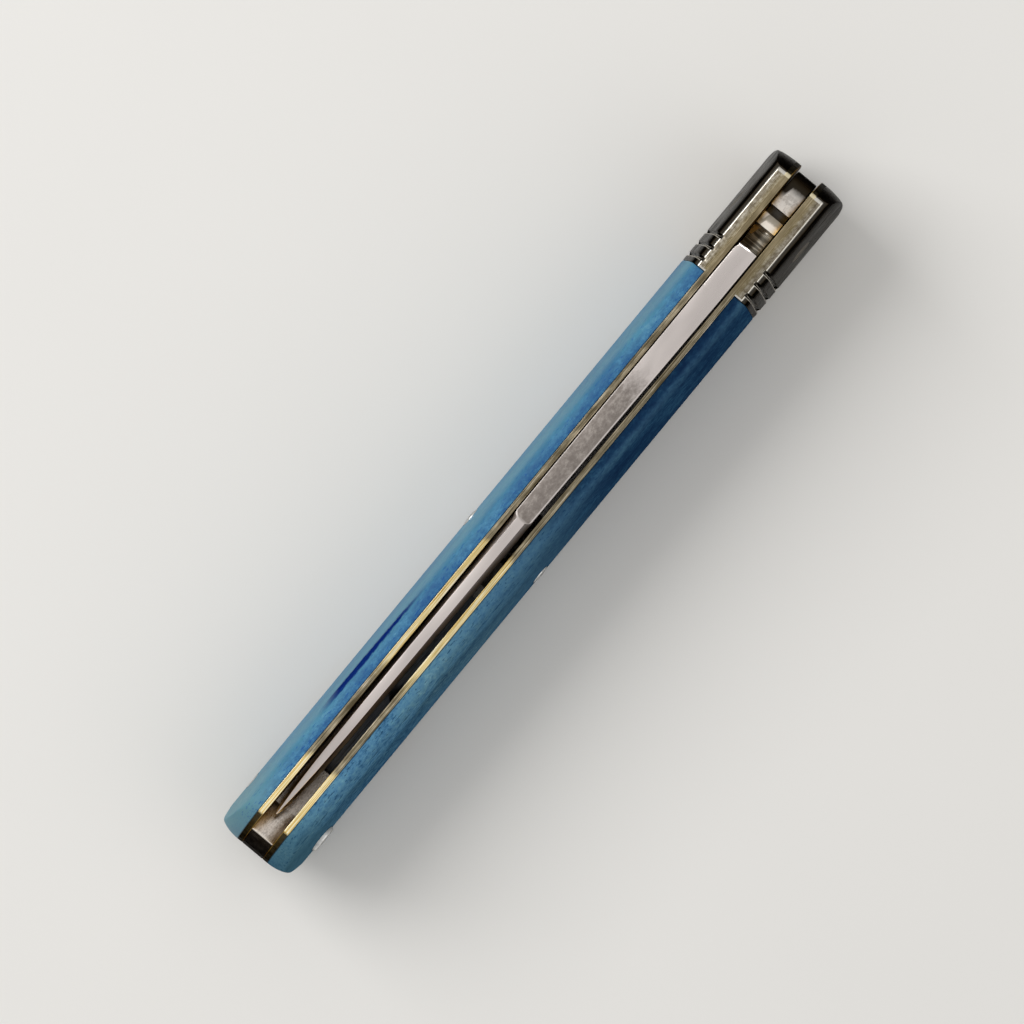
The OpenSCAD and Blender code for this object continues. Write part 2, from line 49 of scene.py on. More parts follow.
MM = 0.001
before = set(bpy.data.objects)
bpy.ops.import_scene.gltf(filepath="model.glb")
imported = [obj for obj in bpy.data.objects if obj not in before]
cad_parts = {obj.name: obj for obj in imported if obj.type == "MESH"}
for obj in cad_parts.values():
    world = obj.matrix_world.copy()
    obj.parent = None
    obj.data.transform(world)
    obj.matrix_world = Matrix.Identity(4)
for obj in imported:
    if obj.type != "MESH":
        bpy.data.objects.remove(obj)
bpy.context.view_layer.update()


def ends(node, axis):
    """Lowest and highest place of a CAD node along x, y or z, in millimetres."""
    low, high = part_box(node)
    return low["xyz".index(axis)] / MM, high["xyz".index(axis)] / MM


# Places that the pieces share, taken from the frame
BUTT_X, NOSE_X = ends("left_liner", "x")
LINER_IN, LINER_OUT = ends("left_liner", "y")
HANDLE_H = ends("left_liner", "z")[1]
COVER_OUT = ends("left_scale", "y")[1]
SCALE_END = ends("left_scale", "x")[1]
JOINT_X = ends("left_bolster", "x")[0]
PIVOT_X = sum(ends("pivot_pin", "x")) / 2
PIVOT_Z = sum(ends("pivot_pin", "z")) / 2
ROCKER_X = sum(ends("rocker_pin", "x")) / 2
ROCKER_Z = sum(ends("rocker_pin", "z")) / 2
REAR_X = sum(ends("rear_pin", "x")) / 2
REAR_Z = sum(ends("rear_pin", "z")) / 2
SPINE_Z = ends("blade", "z")[1]

# Radii of the pins, and the rear pin's head
ROCKER_R = 1.3
REAR_R = 1.1
HEAD_R = 1.85
HEAD_T = 0.6

# Grooves across a bolster: the first one's distance from the joint, and their spacing
GROOVE_AT = 1.05
GROOVE_PITCH = 1.74

# The blade's thickness, and its shoulder, full section's end, tip, swedge's start and edge
BLADE_T = 2.8
SHOULDER_BACK = 4.25
SHOULDER_X = PIVOT_X - SHOULDER_BACK
RICASSO_X = SHOULDER_X - 6.75
TIP_X = BUTT_X + 5.55
SWEDGE_L = 46.8
SWEDGE_X = TIP_X + SWEDGE_L
EDGE_Z = SPINE_Z - 14
# The left face stays parallel to its liner and the right face takes the whole taper
TAPER = 0.4 / (RICASSO_X - SWEDGE_X)


def linear(text):
    """Turns an sRGB hex colour to the linear values that shaders take."""
    parts = [int(text[i : i + 2], 16) / 255 for i in (1, 3, 5)]
    return tuple(c / 12.92 if c <= 0.04045 else ((c + 0.055) / 1.055) ** 2.4 for c in parts)


def length(name, description, mm):
    """A length that the sidebar can change."""
    return FloatProperty(name=name, description=description, default=mm * MM, unit="LENGTH")


def colour(name, description, text):
    """A colour that the sidebar can change."""
    return FloatVectorProperty(
        name=name, description=description, subtype="COLOR", min=0, max=1, default=linear(text)
    )


class KnifeSizes(PropertyGroup):
    """Sizes of the knife's fine forms, which the plain solids leave out."""

    edge_round: length(
        "Steel edge rounding", "Radius to which the blade's spine and the bar's corners are broken", 0.13
    )
    brass_round: length("Liner edge rounding", "Radius to which the liners' edges are broken", 0.06)
    joint_round: length(
        "Joint edge rounding", "Radius of a scale's or bolster's edge where the two meet", 0.16
    )
    bone_round: length(
        "Bone edge rounding", "How far the buffing wheel rounds the rim of a scale's butt", 0.8
    )
    nose_round: length("Nose edge rounding", "Rounding of the edge round a bolster's nose", 0.3)
    groove_w: length("Groove width", "Width of each filed groove across a bolster", 0.56)
    groove_depth: length("Groove depth", "Depth of each filed groove", 0.35)
    hollow: length("Hollow of the grind", "How far the main bevel is ground below flat", 0.1)


class KnifeColours(PropertyGroup):
    """Colours of the knife's finishes."""

    bone_left: colour("Left bone", "Main blue of the left scale", "#326088")
    bone_right: colour("Right bone", "Slate blue of the right scale, which took the dye darker", "#4A7694")
    bone_deep: colour("Bone, deep", "Navy where the bone drank the most dye", "#0B2260")
    # This brass colour goes into the painted reflection windows on the liners' edges
    brass: colour("Brass", "Brass where hands rub it bright", "#F3DB96")
    nickel: colour("Nickel silver", "Nickel silver, buffed and aged", "#8A847B")
    steel: colour("Blade steel", "Satin ground blade steel", "#D8CFCA")
    floor: colour("Floor", "Plain pale floor", "#D9D7D3")


# Meshes


def link_object(name, data):
    """Puts an object with its data into the scene."""
    made = bpy.data.objects.new(name, data)
    bpy.context.scene.collection.objects.link(made)
    return made


def add_object(name, points, faces, finish, sharp_rows=(), angle=30):
    """Makes a piece from millimetre points, smooth apart from its sharp edges."""
    mesh = bpy.data.meshes.new(name)
    mesh.from_pydata([Vector(p) * MM for p in points], [], faces)
    work = bmesh.new()
    work.from_mesh(mesh)
    work.verts.ensure_lookup_table()
    sharp = {frozenset(pair) for pair in sharp_rows}
    for edge in work.edges:
        if frozenset(v.index for v in edge.verts) in sharp:
            edge.smooth = False
    bmesh.ops.remove_doubles(work, verts=work.verts, dist=1e-7)
    bmesh.ops.recalc_face_normals(work, faces=work.faces)
    break_smooth(work, angle)
    work.to_mesh(mesh)
    work.free()
    mesh.materials.append(finish)
    return link_object(name, mesh)


def break_smooth(work, angle):
    """Shades faces smooth, and edges past the angle sharp."""
    for face in work.faces:
        face.smooth = True
    for edge in work.edges:
        if edge.is_manifold and edge.calc_face_angle(0) > math.radians(angle):
            edge.smooth = False


def add_loft(name, rings, finish, sharp_rows=(), angle=30):
    """Makes a piece from rings of equal count, with a cap at each end."""
    n = len(rings[0])
    faces = [tuple(range(n))]
    for a in range(0, (len(rings) - 1) * n, n):
        for i in range(n):
            j = (i + 1) % n
            faces.append((a + i, a + j, a + n + j, a + n + i))
    faces.append(tuple((len(rings) - 1) * n + i for i in reversed(range(n))))
    return add_object(name, [p for ring in rings for p in ring], faces, finish, sharp_rows, angle)


def ease(u):
    """0 to 1 with level ends."""
    c = min(1, max(0, u))
    return c * c * (3 - 2 * c)


def run_in(u):
    """0 to 1 along a quarter circle, as the edge of a grinding wheel leaves it."""
    return math.sqrt(1 - (1 - min(1, max(0, u))) ** 2)


def quarter(t, power):
    """Fall of a superellipse's quarter at share t of its width."""
    return 1 - (1 - t * t) ** (1 / power)


def arc(cx, cz, rx, rz, first, steps):
    """Quarter ellipse of points from the angle first, in degrees."""
    turn = [math.radians(first + 90 * i / steps) for i in range(steps + 1)]
    return [(cx + rx * math.cos(a), cz + rz * math.sin(a)) for a in turn]


def spread(first, last, steps):
    """Values between two ends, which are left out."""
    return [first + (last - first) * i / steps for i in range(1, steps)]


def bend(first, corner, last, steps):
    """Points of a rounded corner from first to last, both included."""
    points = []
    for i in range(steps + 1):
        u = i / steps
        shares = ((1 - u) ** 2, 2 * u * (1 - u), u * u)
        points.append(tuple(sum(s * p[k] for s, p in zip(shares, (first, corner, last))) for k in (0, 1)))
    return points


def finish_piece(made, body, slot, *nodes):
    """Puts a piece on its body and hides the nodes that it stands for; the slot is not used."""
    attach(made, body)
    if nodes:
        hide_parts(*nodes)


def soften(node, width_m, finish, angle=40):
    """Breaks the edges of a CAD node that keeps its own shape, and gives it its finish."""
    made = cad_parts[node]
    weld = made.modifiers.new("weld", "WELD")
    weld.merge_threshold = 1e-7
    bevel = made.modifiers.new("broken edges", "BEVEL")
    bevel.width = width_m
    bevel.segments = 2
    bevel.limit_method = "ANGLE"
    bevel.angle_limit = math.radians(angle)
    bevel.harden_normals = True
    made.data.materials.clear()
    made.data.materials.append(finish)


# Nodes


TIMES = {"operation": "MULTIPLY"}
PLUS = {"operation": "ADD"}
MINUS = {"operation": "SUBTRACT"}
TIMES_PLUS = {"operation": "MULTIPLY_ADD"}
MOST = {"operation": "MAXIMUM"}
SIZE = {"operation": "ABSOLUTE"}


# Dark tint of metal toward grazing angles, a painted dark reflection where a surface is seen edge-on
DARK_GRAZING_TINT = (0.1, 0.095, 0.09)


def shade(tint):
    """A colour's four linear channels, from sRGB hex or from linear ones."""
    return (*(linear(tint) if isinstance(tint, str) else tint)[:3], 1)


def feed(tree, pairs):
    """Sets or links sockets. A node stands for its first open output."""
    for socket, value in pairs:
        if isinstance(value, bpy.types.Node):
            value = next(s for s in value.outputs if s.enabled)
        if isinstance(value, bpy.types.NodeSocket):
            tree.links.new(value, socket)
        elif socket.type == "RGBA":
            socket.default_value = shade(value)
        else:
            socket.default_value = value


def add_node(tree, kind, *values, stops=None, **settings):
    """Adds a node with its settings, its open inputs in their order, and a ramp's stops."""
    made = tree.nodes.new("ShaderNode" + kind)
    for name, value in settings.items():
        setattr(made, name, value)
    feed(tree, zip([s for s in made.inputs if s.enabled], values))
    if stops:
        elements = made.color_ramp.elements
        while len(elements) < len(stops):
            elements.new(1)
        for element, (place, tint) in zip(elements, stops):
            element.position = place
            element.color = shade(tint)
    return made


def new_material(name):
    """A material with its shader, what adds its nodes, and the place in millimetres."""
    made = bpy.data.materials.new(name)
    made.use_nodes = True
    made.node_tree.nodes.clear()
    node = functools.partial(add_node, made.node_tree)
    shader = node("BsdfPrincipled")
    node("OutputMaterial", shader)
    place = node("VectorMath", node("TexCoord").outputs["Object"], 1 / MM, operation="SCALE")
    return made, node, shader, place


def dress(shader, inputs):
    """Sets or links the shader's inputs by name."""
    feed(shader.id_data, [(shader.inputs[name], value) for name, value in inputs.items()])


def noise(node, place, size, detail, rough):
    """Noise whose marks have about this size in millimetres along x, y and z."""
    scale = tuple(1 / s for s in size)
    return node("TexNoise", node("VectorMath", place, scale, **TIMES), 1, detail, rough)


def smooth(node, *values):
    """A ramp whose ends are level."""
    return node("MapRange", *values, interpolation_type="SMOOTHSTEP")


def layer(node, share, under, over):
    """Lays one colour over another at a share."""
    return node("Mix", share, under, over, data_type="RGBA")


def limit(node, mask, *limits):
    """Multiplies a mask by ramps, each of them from 0 to 1 between two places of a value."""
    for value, from_place, to_place in limits:
        mask = node("Math", mask, node("MapRange", value, from_place, to_place), **TIMES)
    return mask


def dress_metal(shader, body, rough, bump, grazing=DARK_GRAZING_TINT):
    """Sets the shader up for bare metal."""
    dress(shader, {"Base Color": body, "Metallic": 1.0, "Roughness": rough, "Normal": bump,
                   "Specular Tint": grazing})


def dyed_bone(name, left):
    """Ox shin bone, dyed blue, ground to shape and buffed.

    The dye follows the bone's canals, so the colour lies in short mottles along the grain with
    dark flecks. Under the shoulder the outer bone is painted paler and greener on the left, partly
    as painted sheen, and dark on the right as painted shade. The left scale is clear blue and the
    right one slate, going to navy toward its bolster, with a painted highlight along its crown.
    """
    colours = bpy.context.scene.knife_colours
    made, node, shader, place = new_material(name)
    x, across, z = node("SeparateXYZ", place).outputs
    y = node("Math", across, **SIZE)
    # Clouds 12 mm long, mottles 0.8 mm long and canals as long but thinner
    cloud = noise(node, place, (12, 3, 8), 3, 0.6)
    mottle = noise(node, place, (0.8, 0.5, 0.7), 6, 0.72)
    canal = noise(node, place, (0.8, 0.18, 0.22), 2, 0.5)
    tone = node("Mix", 0.55, cloud, mottle)
    main = colours.bone_left if left else colours.bone_right
    if left:
        tints = ("#264F80", main, "#44789C", "#6894A6")
    else:
        tints = ("#2E5678", main, "#5C889C", "#7CA4AE")
    body = node("ValToRGB", tone, stops=list(zip((0.38, 0.47, 0.57, 0.68), tints)))
    # Under the shoulder, paler outer bone on the left, partly painted sheen, and painted shade on the right;
    # and the butt's end grain, darker on the right as painted shade
    reach = node("Math", cloud, 1.6, node("Math", y, 0.8, **MINUS), **TIMES_PLUS)
    skin_sheen_and_shade = smooth(node, reach, 2.5 if left else 4.3, 4.7 if left else 4.9)
    high = node("Math", smooth(node, z, 6, 16, 0.5, 0.9),
                node("MapRange", mottle, 0.64, 0.42, 0.55, 1), **TIMES)
    body = layer(node, node("Math", skin_sheen_and_shade, high, **TIMES), body, "#4A8090" if left else "#153248")
    wave = node("Math", tone, 9, x, **TIMES_PLUS)
    butt = smooth(node, wave, BUTT_X + 17, BUTT_X + 8, 0, 0.7)
    body = layer(node, butt, body, "#5C8288" if left else "#3A5C6A")
    if left:
        # One long navy streak on the shoulder, thinning toward the bolster
        middle = node("MapRange", x, -32, -15, 4.12, 4.0)
        off = node("Math", node("Math", y, middle, **MINUS), **SIZE)
        thick = node("MapRange", x, -26, -14.5, 0.3, 0.1)
        ragged = node("Math", node("Math", mottle, 0.5, **MINUS), 0.5, thick, **TIMES_PLUS)
        inside = node("Math", ragged, off, **MINUS)
        line = smooth(node, inside, -0.12, 0.1)
        start = smooth(node, x, -35.5, -31)
        stop = smooth(node, x, -13.5, -20)
        span = node("Math", node("Math", start, stop, **TIMES), node("MapRange", z, 16.7, 17.7), **TIMES)
        soaked = node("Math", line, span, **TIMES)
        body = layer(node, soaked, body, colours.bone_deep)
        shine = node("MapRange", soaked, 0, 1, 0.07, 0)
    else:
        shine = 0.0
        # Slate toward the middle, and mottled navy beyond it, kept slate along the crown by a painted
        # highlight
        drift = node("Math", cloud, 16, x, **TIMES_PLUS)
        slate = smooth(node, drift, -30, 8, 0, 0.7)
        body = layer(node, slate, body, "#35536A")
        front = smooth(node, drift, 0, 18, 0, 0.92)
        off = node("Math", node("Math", y, 3.7, **MINUS), **SIZE)
        crown_highlight = smooth(node, off, 0.65, 0.1, 1, 0.55)
        navy = node("ValToRGB", tone, stops=[(0.4, "#0C2140"), (0.5, "#14304E"), (0.62, "#2A4E6A")])
        body = layer(node, node("Math", front, crown_highlight, **TIMES), body, navy)
        # Dark dashes along the shoulder, 2 mm long
        dash = noise(node, place, (2, 0.4, 0.5), 2, 0.4)
        off = node("Math", node("Math", y, 4.25, **MINUS), **SIZE)
        line = smooth(node, off, 0.16, 0.06)
        dashes = smooth(node, dash, 0.45, 0.38, 0, 0.6)
        body = layer(node, node("Math", line, dashes, **TIMES), body, "#12304C")
    # Canals, as short dark flecks that gather near the liner
    near = node("MapRange", y, 4.6, 2.8, 0.45, 0.8)
    fleck = smooth(node, canal, 0.4, 0.31)
    body = layer(node, node("Math", fleck, near, **TIMES), body, "#1C4A88" if left else "#12314F")
    # Grime in the seams beside the brass, and painted shade in rings round the pins
    seam_grime_and_pin_shade = smooth(node, y, LINER_OUT + 0.16, LINER_OUT + 0.02, 0, 0.85)
    for pin_x, pin_z, pin_r in (
        (ROCKER_X, ROCKER_Z, ROCKER_R),
        (REAR_X, REAR_Z, REAR_R if left else HEAD_R),
    ):
        spot = node("VectorMath", node("CombineXYZ", x, 0, z), (pin_x, 0, pin_z), operation="DISTANCE")
        ring = smooth(node, spot.outputs["Value"], pin_r + 0.22, pin_r + 0.03, 0, 0.8)
        seam_grime_and_pin_shade = node("Math", seam_grime_and_pin_shade, ring, **MOST)
    body = layer(node, seam_grime_and_pin_shade, body, "#15242E")
    bump = node("Bump", 0.3, 0.05 * MM, 0.1, node("Mix", 0.5, mottle, canal))
    rough = node("MapRange", mottle, 0.35, 0.65, 0.4, 0.52)
    dress(shader, {"Base Color": body, "Roughness": rough, "Specular IOR Level": shine, "Normal": bump})
    return made


def ground_brass(name):
    """Sheet brass, its edges ground lengthwise with the knife and left to tarnish.

    The edges shine yellow in painted reflection windows and are streaked olive elsewhere, with
    painted glints in the streaks. The slope at the butt is painted dark as painted shade, and the
    inner faces, which nothing rubs, have gone brown, painted darker deeper in the slot as painted shade.
    """
    colours = bpy.context.scene.knife_colours
    made, node, shader, place = new_material(name)
    x, across, z = node("SeparateXYZ", place).outputs
    y = node("Math", across, **SIZE)
    # Grinding lines 0.12 mm apart, coarser than the real belt's so that they show
    lines = noise(node, place, (9, 0.125, 0.125), 2, 0.5)
    cloud = noise(node, place, (3, 1, 1), 3, 0.6)
    # Painted reflection windows, where the edges are painted bright yellow
    wave = node("Math", cloud, 3, x, **TIMES_PLUS)
    highlit = smooth(node, wave, -37.2, -38.8)
    start = smooth(node, wave, -26.5, -22)
    stop = smooth(node, wave, -4, -5.2, 0, 0.75)
    highlit = node("Math", highlit, node("Math", start, stop, **TIMES), **MOST)
    # The palest stops of these ramps paint glints along the grinding lines
    streak = node("Mix", 0.6, cloud, lines)
    dull = node("ValToRGB", streak, stops=[(0.4, "#5E543E"), (0.5, "#847A64"),
                                           (0.6, "#B4A88E"), (0.68, "#EADCCB")])
    bright = node("ValToRGB", lines, stops=[(0.35, "#D3A951"), (0.5, colours.brass), (0.62, "#FBF1CE")])
    body = layer(node, highlit, dull, bright)
    # Olive brown beside the bolsters, a painted highlight on the front corner, and painted shade on the
    # slopes
    front = node("MapRange", x, JOINT_X - 1, JOINT_X + 1, 0, 0.6)
    body = layer(node, front, body, "#8A7B5C")
    corner = node("MapRange", x, NOSE_X - 2.8, NOSE_X - 2.7, 0, 0.8)
    body = layer(node, corner, body, "#E6DAB8")
    slope = smooth(node, z, HANDLE_H - 0.04, HANDLE_H - 0.2, 0, 0.95)
    body = layer(node, slope, body, "#2E2A22")
    inner = node("MapRange", y, LINER_IN + 0.1, LINER_IN + 0.02, 0, 0.9)
    inner = limit(node, inner, (z, HANDLE_H - 0.03, HANDLE_H - 0.1))
    # Brown tarnish, painted darker deeper in the slot as painted shade
    deep = node("ValToRGB", node("MapRange", z, 10, 19.6), stops=[(0, "#7E6236"), (1, "#C4A668")])
    body = layer(node, inner, body, deep)
    bump = node("Bump", 0.35, 0.02 * MM, 0.1, lines)
    rough = node("MapRange", cloud, 0.35, 0.65, 0.28, 0.45)
    dress_metal(shader, body, rough, bump)
    return made


def nickel_silver(name):
    """Nickel silver, ground level beside the slot and buffed on its outside.

    The ground strip has tarnished to a mottled olive grey with lengthwise lines, painted darker on
    the right as painted shade, and its edges carry a painted highlight. The buffed faces have hair
    scratches and a painted dark reflection over the crown and nose, and the grooves are darker,
    with a painted highlight on one wall of each.
    """
    colours = bpy.context.scene.knife_colours
    made, node, shader, place = new_material(name)
    x, across, z = node("SeparateXYZ", place).outputs
    y = node("Math", across, **SIZE)
    # Grinding lines 0.12 mm apart, drawn coarse enough to show, and tarnish spots 0.7 mm long
    lines = noise(node, place, (5, 0.125, 0.125), 2, 0.5)
    cloud = noise(node, place, (0.7, 1 / 2.2, 1 / 2.2), 4, 0.7)
    scratch = noise(node, place, (3, 0.1, 1 / 1.1), 2, 0.4)
    edge = node("MapRange", y, LINER_OUT + 1.16, LINER_OUT + 1.08)
    edge = limit(node, edge, (z, HANDLE_H - 0.3, HANDLE_H - 0.2), (x, NOSE_X - 2.3, NOSE_X - 2.36))
    strip = node("MapRange", y, LINER_OUT + 1.05, LINER_OUT + 0.97)
    strip = limit(node, strip, (z, HANDLE_H - 0.16, HANDLE_H - 0.05), (x, JOINT_X + 0.18, JOINT_X + 0.3),
                  (x, NOSE_X - 2.7, NOSE_X - 2.8))
    streak = node("Mix", 0.3, cloud, lines)
    tarnish = node("ValToRGB", streak, stops=[(0.38, "#655B49"), (0.5, "#978D7B"), (0.62, "#C9C2B2")])
    # The right strip is painted darker, as painted shade
    tarnish = layer(node, node("MapRange", across, 1, -1, 0, 0.4), tarnish, "#4A4338")
    yellow = node("MapRange", y, LINER_OUT + 0.6, LINER_OUT, 0, 0.55)
    tarnish = layer(node, yellow, tarnish, "#93845A")
    nickel = colours.nickel
    aged = node("ValToRGB", cloud, stops=[(0.35, tuple(0.7 * c for c in nickel)), (0.65, nickel)])
    # Darker over the crown and on the nose's slope: painted dark reflection
    crown = smooth(node, z, HANDLE_H - 3, HANDLE_H - 1, 0, 0.85)
    nose = node("MapRange", x, NOSE_X - 2.6, NOSE_X - 2, 0, 0.8)
    aged = layer(node, node("Math", crown, nose, **MOST), aged, "#37332D")
    # The strip's own edges: a painted highlight, where hands also rub the tarnish away
    body = layer(node, edge, aged, "#DCD7CD")
    body = layer(node, strip, body, tarnish)
    # Darker in the grooves, with a painted highlight on one wall of each
    from_first = node("Math", x, JOINT_X + GROOVE_AT, **MINUS)
    # On the left the edge's painted highlight runs on past them, and on the right they break it
    whole = node("MapRange", across, -1, 1, LINER_OUT + 1, LINER_OUT + 1.12)
    past_edge = node("Math", y, whole, **MINUS)
    lines_at = []
    for side, near, far, share in ((0, 0.26, 0.17, 0.75), (0.2, 0.2, 0.12, 0.95)):
        off = node("Math", node("Math", from_first, side, **PLUS), GROOVE_PITCH / 2, operation="PINGPONG")
        line = node("MapRange", off, near, far, 0, share)
        lines_at.append(limit(node, line, (x, JOINT_X + 5.1, JOINT_X + 5), (past_edge, 0.1, 0.18)))
    body = layer(node, lines_at[0], body, "#26221C")
    body = layer(node, lines_at[1], body, "#C6C1B7")
    # A lighter grazing tint on the same walls, also a painted highlight
    tint = layer(node, lines_at[1], DARK_GRAZING_TINT, (0.75, 0.73, 0.7))
    rough = node("Math", strip, 0.2, node("MapRange", scratch, 0.35, 0.65, 0.14, 0.28), **TIMES_PLUS)
    bump = node("Bump", 0.3, 0.015 * MM, 0.1, node("Mix", strip, scratch, lines))
    dress_metal(shader, body, rough, bump, tint)
    return made


def satin_blade_steel(name):
    """Stainless blade steel, belt ground from spine to edge and left satin.

    The grinding lines run up and down the blade. The spine is pinkish white toward the tip, and
    behind the swedge it is painted a mottled warm grey as painted shade, inside a brighter rim.
    """
    colours = bpy.context.scene.knife_colours
    made, node, shader, place = new_material(name)
    x, y, z = node("SeparateXYZ", place).outputs
    # Belt lines 0.16 mm apart, coarser than a 400 grit belt's so that they show
    lines = noise(node, place, (1 / 6, 1 / 6, 9), 2, 0.5)
    cloud = noise(node, place, (0.8, 0.6, 0.8), 5, 0.68)
    broad = noise(node, place, (10, 3, 5), 2, 0.5)
    steel = colours.steel
    clean = node("ValToRGB", broad, stops=[(0.35, tuple(0.9 * c for c in steel)), (0.6, steel)])
    wave = node("Math", cloud, 5, x, **TIMES_PLUS)
    # Distance in from the spine's two edges, where the rim stays bright
    left_in = node("Math", BLADE_T / 2, y, **MINUS)
    right_in = node("Math", x, TAPER, node("Math", y, BLADE_T / 2 - TAPER * RICASSO_X, **PLUS), **TIMES_PLUS)
    rim = node("Math", node("Math", left_in, 0.08, **PLUS), right_in, operation="MINIMUM")
    # The painted shade on the spine ends round at the swedge
    bulge = node("Math", node("Math", y, -0.45, **TIMES), y, x, **TIMES_PLUS)
    spine_shade = limit(node, smooth(node, wave, 25.5, 19.5), (rim, 0.13, 0.22),
                   (z, SPINE_Z - 0.05, SPINE_Z - 0.02), (bulge, SWEDGE_X - 0.95, SWEDGE_X - 0.75))
    spots = node("ValToRGB", cloud, stops=[(0.34, "#7C746E"), (0.5, "#8A827C"), (0.66, "#A39B94")])
    body = layer(node, spine_shade, clean, spots)
    # The ledge behind the shoulder is painted dark as painted shade, with light scratches across it
    cross = noise(node, place, (0.2, 3, 0.2), 3, 0.6)
    ledge = node("ValToRGB", cross, stops=[(0.42, "#6A665E"), (0.55, "#8F8A7F"), (0.66, "#CFC9BC")])
    behind = node("MapRange", x, SHOULDER_X + 0.05, SHOULDER_X + 0.2)
    below = node("MapRange", z, SPINE_Z - 3, SPINE_Z - 3.3)
    reach = smooth(node, y, 0.5, 0.95, 0, 1.15)
    reach = node("Math", node("Math", cloud, 0.5, x, **TIMES_PLUS), reach, **PLUS)
    along = node("MapRange", reach, 43.95, 51.25)
    # Polished by the bar on the hump and behind the notch, painted near white there as painted highlights,
    # dull between, and painted dark as painted shade at the far end
    worn_and_highlit = node("ValToRGB", along, stops=[
        (0, "#8F8A7F"), (0.03, "#FFF8EC"), (0.16, "#FFF4E6"),
        (0.2, "#B0A799"), (0.3, "#938B7D"), (0.42, "#F4ECE2"),
        (0.76, "#FFF8F0"), (0.9, "#38332C")])
    tail = limit(node, 0.8, (along, 0.38, 0.42), (along, 0.82, 0.74))
    dents = node("MapRange", cloud, 0.54, 0.44, 0, 0.5)
    worn_and_highlit = layer(node, node("Math", tail, dents, **TIMES), worn_and_highlit, "#A0978C")
    highlit = node("MapRange", along, 0, 0.03)
    top = layer(node, highlit, ledge, worn_and_highlit)
    body = layer(node, node("Math", behind, below, **TIMES), body, top)
    # Painted shade in the lock notch
    notch = limit(node, 0.9, (z, PIVOT_Z + 6.8, PIVOT_Z + 6.2), (x, PIVOT_X + 0.8, PIVOT_X + 0.84),
                  (x, PIVOT_X + 1.98, PIVOT_X + 1.94))
    body = layer(node, notch, body, "#1B1712")
    rough = node("Math", spine_shade, 0.14, node("MapRange", broad, 0.3, 0.7, 0.26, 0.36), **TIMES_PLUS)
    # The swedge's bevels are dull, and the spine is stoned smooth
    off = node("Math", node("Math", left_in, right_in, **MINUS), **SIZE)
    bevels = node("Math", node("MapRange", off, 1.24, 1.4),
                  node("MapRange", x, SWEDGE_X + 0.1, SWEDGE_X - 0.1, 0, 0.22), **TIMES)
    sunk = node("Math", node("Math", behind, below, **TIMES), node("Math", highlit, 1, **MINUS), **TIMES)
    rough = node("Math", sunk, -0.3, node("Math", rough, bevels, **PLUS), **TIMES_PLUS)
    level = node("MapRange", z, SPINE_Z - 0.1, SPINE_Z - 0.02, 0.3, 0)
    bump = node("Bump", level, 0.012 * MM, 0.1, lines)
    dress_metal(shader, body, rough, bump)
    return made


def spring_steel(name, dark, light, rough_at):
    """Hardened spring steel, ground lengthwise and lightly oiled: streaks over soft clouds."""
    made, node, shader, place = new_material(name)
    # Grinding lines 0.14 mm apart, drawn coarse enough to show
    lines = noise(node, place, (8, 1 / 7, 1 / 7), 2, 0.5)
    cloud = noise(node, place, (2.4, 0.7, 1.2), 4, 0.6)
    streak = node("Mix", 0.4, cloud, lines)
    body = node("ValToRGB", streak, stops=[(0.38, dark), (0.6, light)])
    # The end that faces the butt is painted dark as painted shade, behind a painted highlight on its edge
    x = node("SeparateXYZ", place).outputs["X"]
    edge = node("MapRange", x, BUTT_X + 2.75, BUTT_X + 2.6, 0, 0.7)
    body = layer(node, edge, body, "#FFF6EA")
    end = node("MapRange", x, BUTT_X + 2.45, BUTT_X + 2.3, 0, 0.95)
    body = layer(node, end, body, "#2C2823")
    bump = node("Bump", 0.3, 0.015 * MM, 0.1, lines)
    rough = node("MapRange", cloud, 0.35, 0.65, rough_at - 0.06, rough_at + 0.08)
    dress_metal(shader, body, rough, bump)
    return made


def polished_pin(name, tint, grazing):
    """Drawn pin stock, peened over and buffed: bright, with faint hammer marks."""
    made, node, shader, place = new_material(name)
    # Hammer marks 0.5 mm across
    marks = noise(node, place, (0.5, 0.5, 0.5), 3, 0.5)
    tint = linear(tint)
    body = node("ValToRGB", marks, stops=[(0.35, tuple(0.75 * c for c in tint)), (0.6, tint)])
    bump = node("Bump", 0.12, 0.03 * MM, 0.1, marks)
    rough = node("MapRange", marks, 0.35, 0.65, 0.3, 0.4)
    dress_metal(shader, body, rough, bump, grazing)
    return made


def pale_floor(name):
    """Matt painted board: pale, with a hardly visible unevenness."""
    made, node, shader, place = new_material(name)
    # Clouds 60 mm across
    cloud = noise(node, place, (60, 60, 60), 3, 0.5)
    tint = bpy.context.scene.knife_colours.floor
    body = node("ValToRGB", cloud, stops=[(0.3, tuple(0.985 * c for c in tint)), (0.7, tint)])
    dress(shader, {"Base Color": body, "Roughness": 0.85, "Specular IOR Level": 0.2})
    return made


# Scales and bolsters


# A cover's section ends at this share of its full width, where its flank is still a face
SECTION_SHARE = 0.985
COVER_T = (COVER_OUT - LINER_OUT) / SECTION_SHARE
# The bolsters' level strip, as a share of that width
STRIP = 1.05 / COVER_T
# Heights of the widest line, and of the slopes at the butt and the nose
WIDEST = 3.6
SLOPE_H = 10
# Shares of the thickness at which the covers' outer sections lie, closer toward the widest
OUTER = [0.76, 0.8, 0.84, 0.88, 0.91, 0.935, 0.95, 0.962, 0.972, 0.98, SECTION_SHARE]


def turned(t):
    """How far the crown has turned down into the flank at share t of a cover's thickness."""
    shoulder, soft = 1.98, 0.2
    return math.log(1 + math.exp((t * COVER_T - shoulder) / soft))


def slot_fall(t):
    """Fall of the section from the slot's mouth: a low crown, a shoulder and a straight flank."""
    crown = 0.09
    return (HANDLE_H - WIDEST) * (crown * t * t + (1 - crown) * turned(t) / turned(1))


